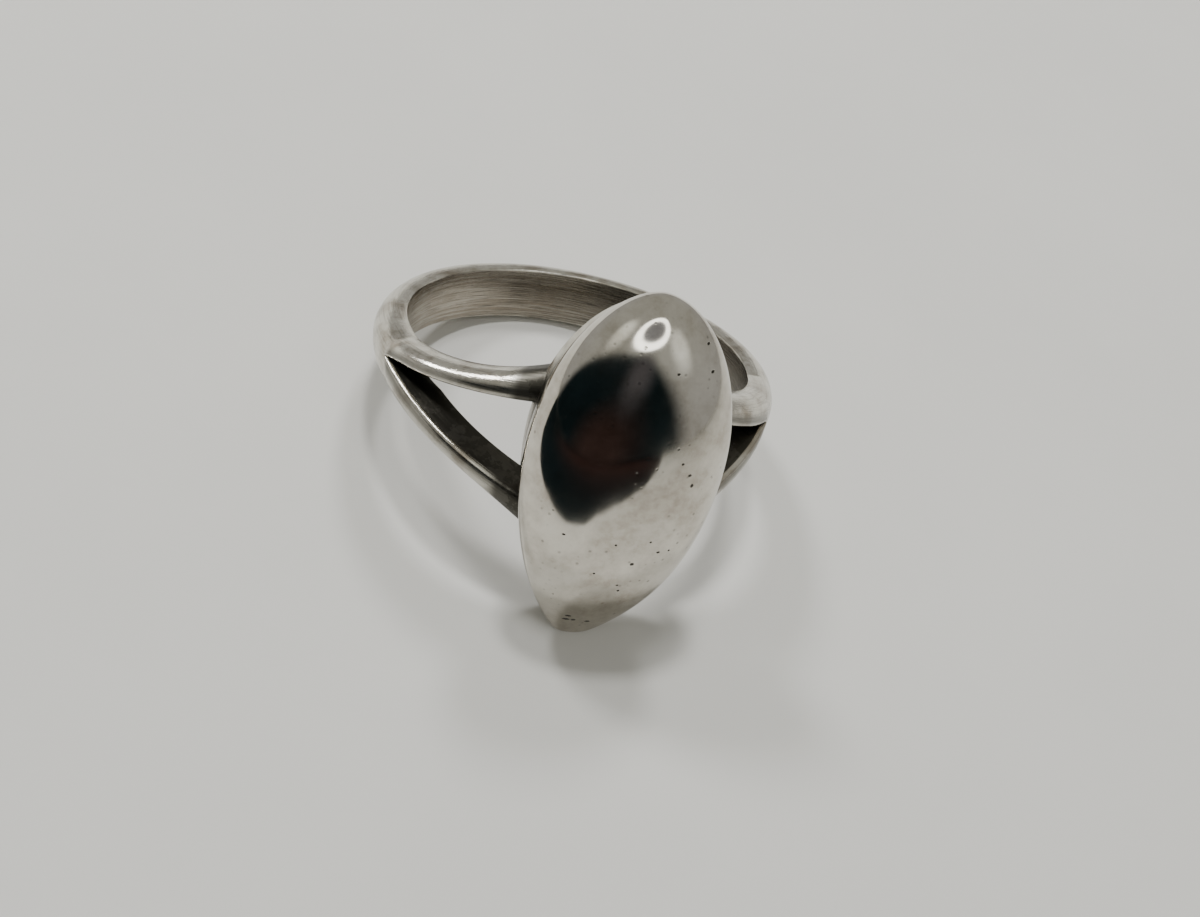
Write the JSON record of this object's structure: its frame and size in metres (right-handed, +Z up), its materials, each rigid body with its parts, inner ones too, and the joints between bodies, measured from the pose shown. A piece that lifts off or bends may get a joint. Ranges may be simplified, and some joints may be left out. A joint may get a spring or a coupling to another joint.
{
  "type": "ring",
  "caption": "Finger ring of polished silver: a plain band that splits into two arms on each side, carrying a tall domed teardrop on a thin back plate.",
  "frame": {"origin": "bottom centre of the bounding box, on the surface the ring lies on", "axes": "+Z up, -Y towards the teardrop's front, +X to the wearer's side; the finger hole's axis leans back from +Z towards +Y"},
  "size_m": [0.0206, 0.0238, 0.0175],
  "materials": {
    "silver": "polished"
  },
  "bodies": {
    "root": {"ring": "silver"}
  },
  "joints": []
}
